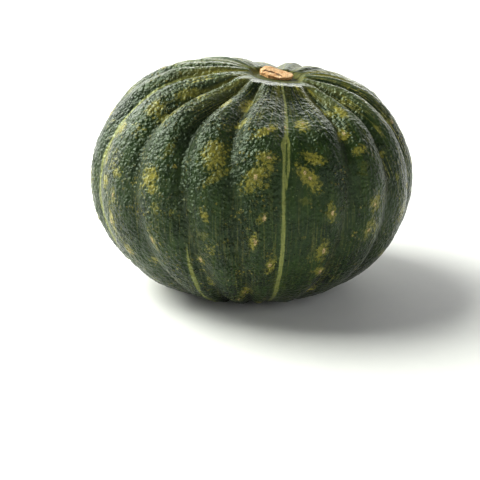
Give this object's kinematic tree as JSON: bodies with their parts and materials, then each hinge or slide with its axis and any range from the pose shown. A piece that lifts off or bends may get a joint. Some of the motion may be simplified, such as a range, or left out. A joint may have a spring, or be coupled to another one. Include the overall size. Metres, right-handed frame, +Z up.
{
  "type": "kabocha squash",
  "caption": "Whole kabocha squash: a squat round fruit with broad ribs and a waxy dark green rind, resting on its blossom end, with a short corky stem stub in a shallow hollow on top.",
  "frame": {"origin": "centre of the bounding box at the level the squash rests on", "axes": "+Z up, from the blossom end towards the stem; -Y is the front; +X is the side towards which the stem end has grown"},
  "size_m": [0.1736, 0.1718, 0.1208],
  "materials": {
    "green_rind": "waxy satin",
    "dry_stem": "dry, corky, matte"
  },
  "bodies": {
    "root": {"fruit": "green_rind", "stem": "dry_stem"}
  },
  "joints": []
}
